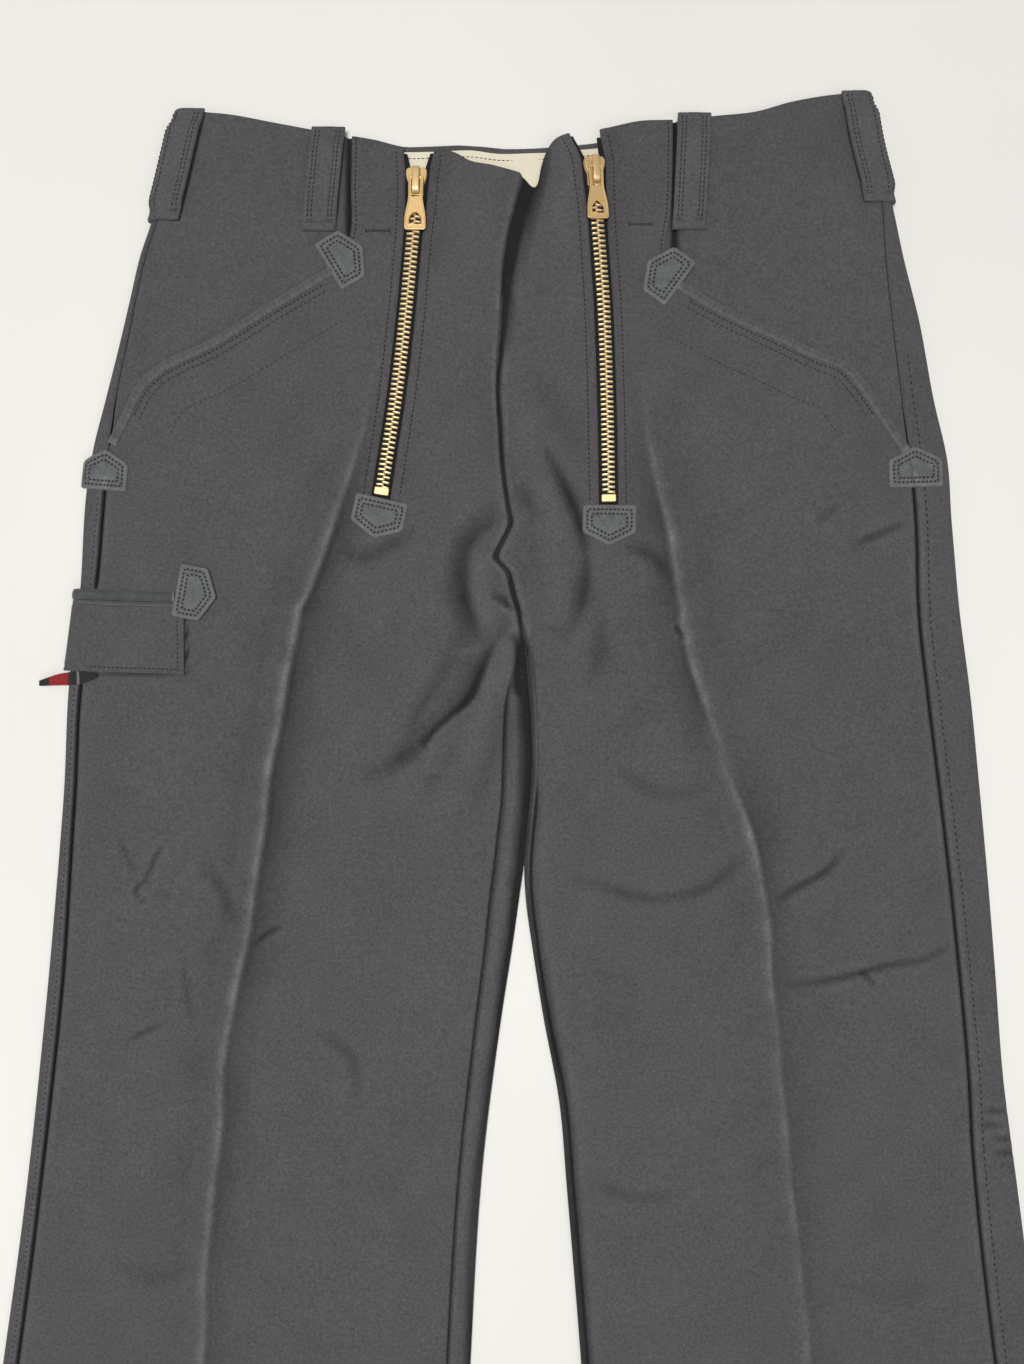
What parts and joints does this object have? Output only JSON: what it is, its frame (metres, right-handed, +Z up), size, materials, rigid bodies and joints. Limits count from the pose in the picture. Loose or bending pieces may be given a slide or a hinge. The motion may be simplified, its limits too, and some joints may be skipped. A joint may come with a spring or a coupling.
{
  "type": "guild carpenter's trousers laid flat",
  "caption": "Black bell-bottom work trousers lying flat on their back, with brass front zips, a fall, leather-trimmed pockets and belt loops.",
  "frame": {"origin": "middle of the underside, on the surface that the trousers lie on", "axes": "+Z up from that surface, +Y towards the waist, -X towards the wearer's right"},
  "size_m": [0.7377, 1.1542, 0.015],
  "materials": {
    "moleskin": "heavy black cotton moleskin with a faint violet-brown sheen and specks of lint",
    "leather": "smooth black leather with a raw, lighter edge",
    "lining": "cream cotton twill",
    "tape": "black woven zip tape",
    "brass": "polished brass, lightly worn",
    "label": "woven ribbon in plain red, black and white bands"
  },
  "bodies": {
    "garment": {"front_right": "moleskin", "front_left": "moleskin", "back_right": "moleskin", "back_left": "moleskin", "pocket_facing_right": "moleskin", "pocket_facing_left": "moleskin", "pocket_piping_right": "leather", "pocket_piping_left": "leather", "waist_lining": "lining", "belt_loop_front_right": "moleskin", "belt_loop_front_left": "moleskin", "belt_loop_side_right": "moleskin", "belt_loop_side_left": "moleskin", "patch_pocket_top_right": "leather", "patch_pocket_top_left": "leather", "patch_pocket_side_right": "leather", "patch_pocket_side_left": "leather", "patch_zip_right": "leather", "patch_zip_left": "leather", "patch_rule_pocket": "leather", "rule_pocket": "moleskin", "rule_pocket_piping": "leather", "rule_pocket_label": "label", "zip_right_tape_inner": "tape", "zip_right_tape_outer": "tape", "zip_right_chain": "brass", "zip_right_stop": "brass", "zip_right_slider": "brass", "zip_left_tape_inner": "tape", "zip_left_tape_outer": "tape", "zip_left_chain": "brass", "zip_left_stop": "brass", "zip_left_slider": "brass"},
    "pull_right": {"zip_right_pull": "brass"},
    "pull_left": {"zip_left_pull": "brass"}
  },
  "joints": [
    {"name": "pull_right_hinge", "type": "hinge", "parent": "garment", "child": "pull_right", "pos_m": [-0.06492, 0.52391, 0.01101], "axis": [-0.9995, 0.0211, -0.0225], "range_deg": [0, 170]},
    {"name": "pull_left_hinge", "type": "hinge", "parent": "garment", "child": "pull_left", "pos_m": [0.04204, 0.53017, 0.01205], "axis": [-0.9836, -0.0547, 0.1721], "range_deg": [0, 170]}
  ]
}
